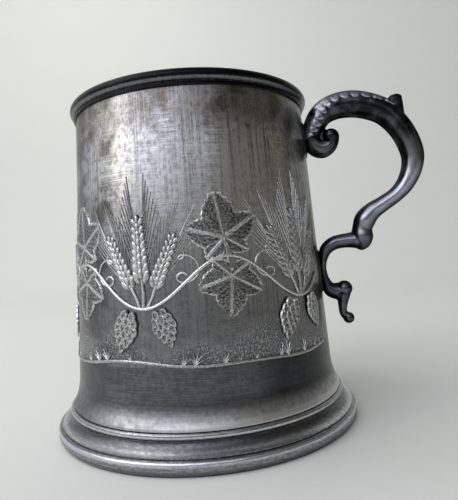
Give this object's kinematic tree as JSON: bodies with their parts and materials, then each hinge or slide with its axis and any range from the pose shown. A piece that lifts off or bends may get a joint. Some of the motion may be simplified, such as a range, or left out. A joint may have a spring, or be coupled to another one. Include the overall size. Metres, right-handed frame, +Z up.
{
  "type": "tankard",
  "caption": "Pewter tankard: tapered drum with a relief frieze, beaded lip, stepped foot and a cast scroll handle with a leaf, spur and volutes, for drinking from.",
  "frame": {"origin": "on the standing plane, at the middle of the footprint with the handle counted in; the drum's axis stands 14.3 mm from it towards -X", "axes": "+Z up along the drum's axis, +X out along the handle"},
  "size_m": [0.1366, 0.108, 0.114],
  "materials": {
    "drum_pewter": "satin grey pewter with vertical brushing and tarnish",
    "moulding_pewter": "turned grey pewter, worn bright on its edges",
    "handle_pewter": "smooth dark cast pewter, polished by handling",
    "solder": "dull grey solder"
  },
  "bodies": {
    "root": {"body_drum": "drum_pewter", "lip_band": "moulding_pewter", "collar_wire": "moulding_pewter", "foot_skirt": "moulding_pewter", "foot_rim": "moulding_pewter", "bottom_plate": "drum_pewter", "floor_solder": "solder", "handle": "handle_pewter", "upper_solder": "solder", "lower_solder": "solder"}
  },
  "joints": []
}
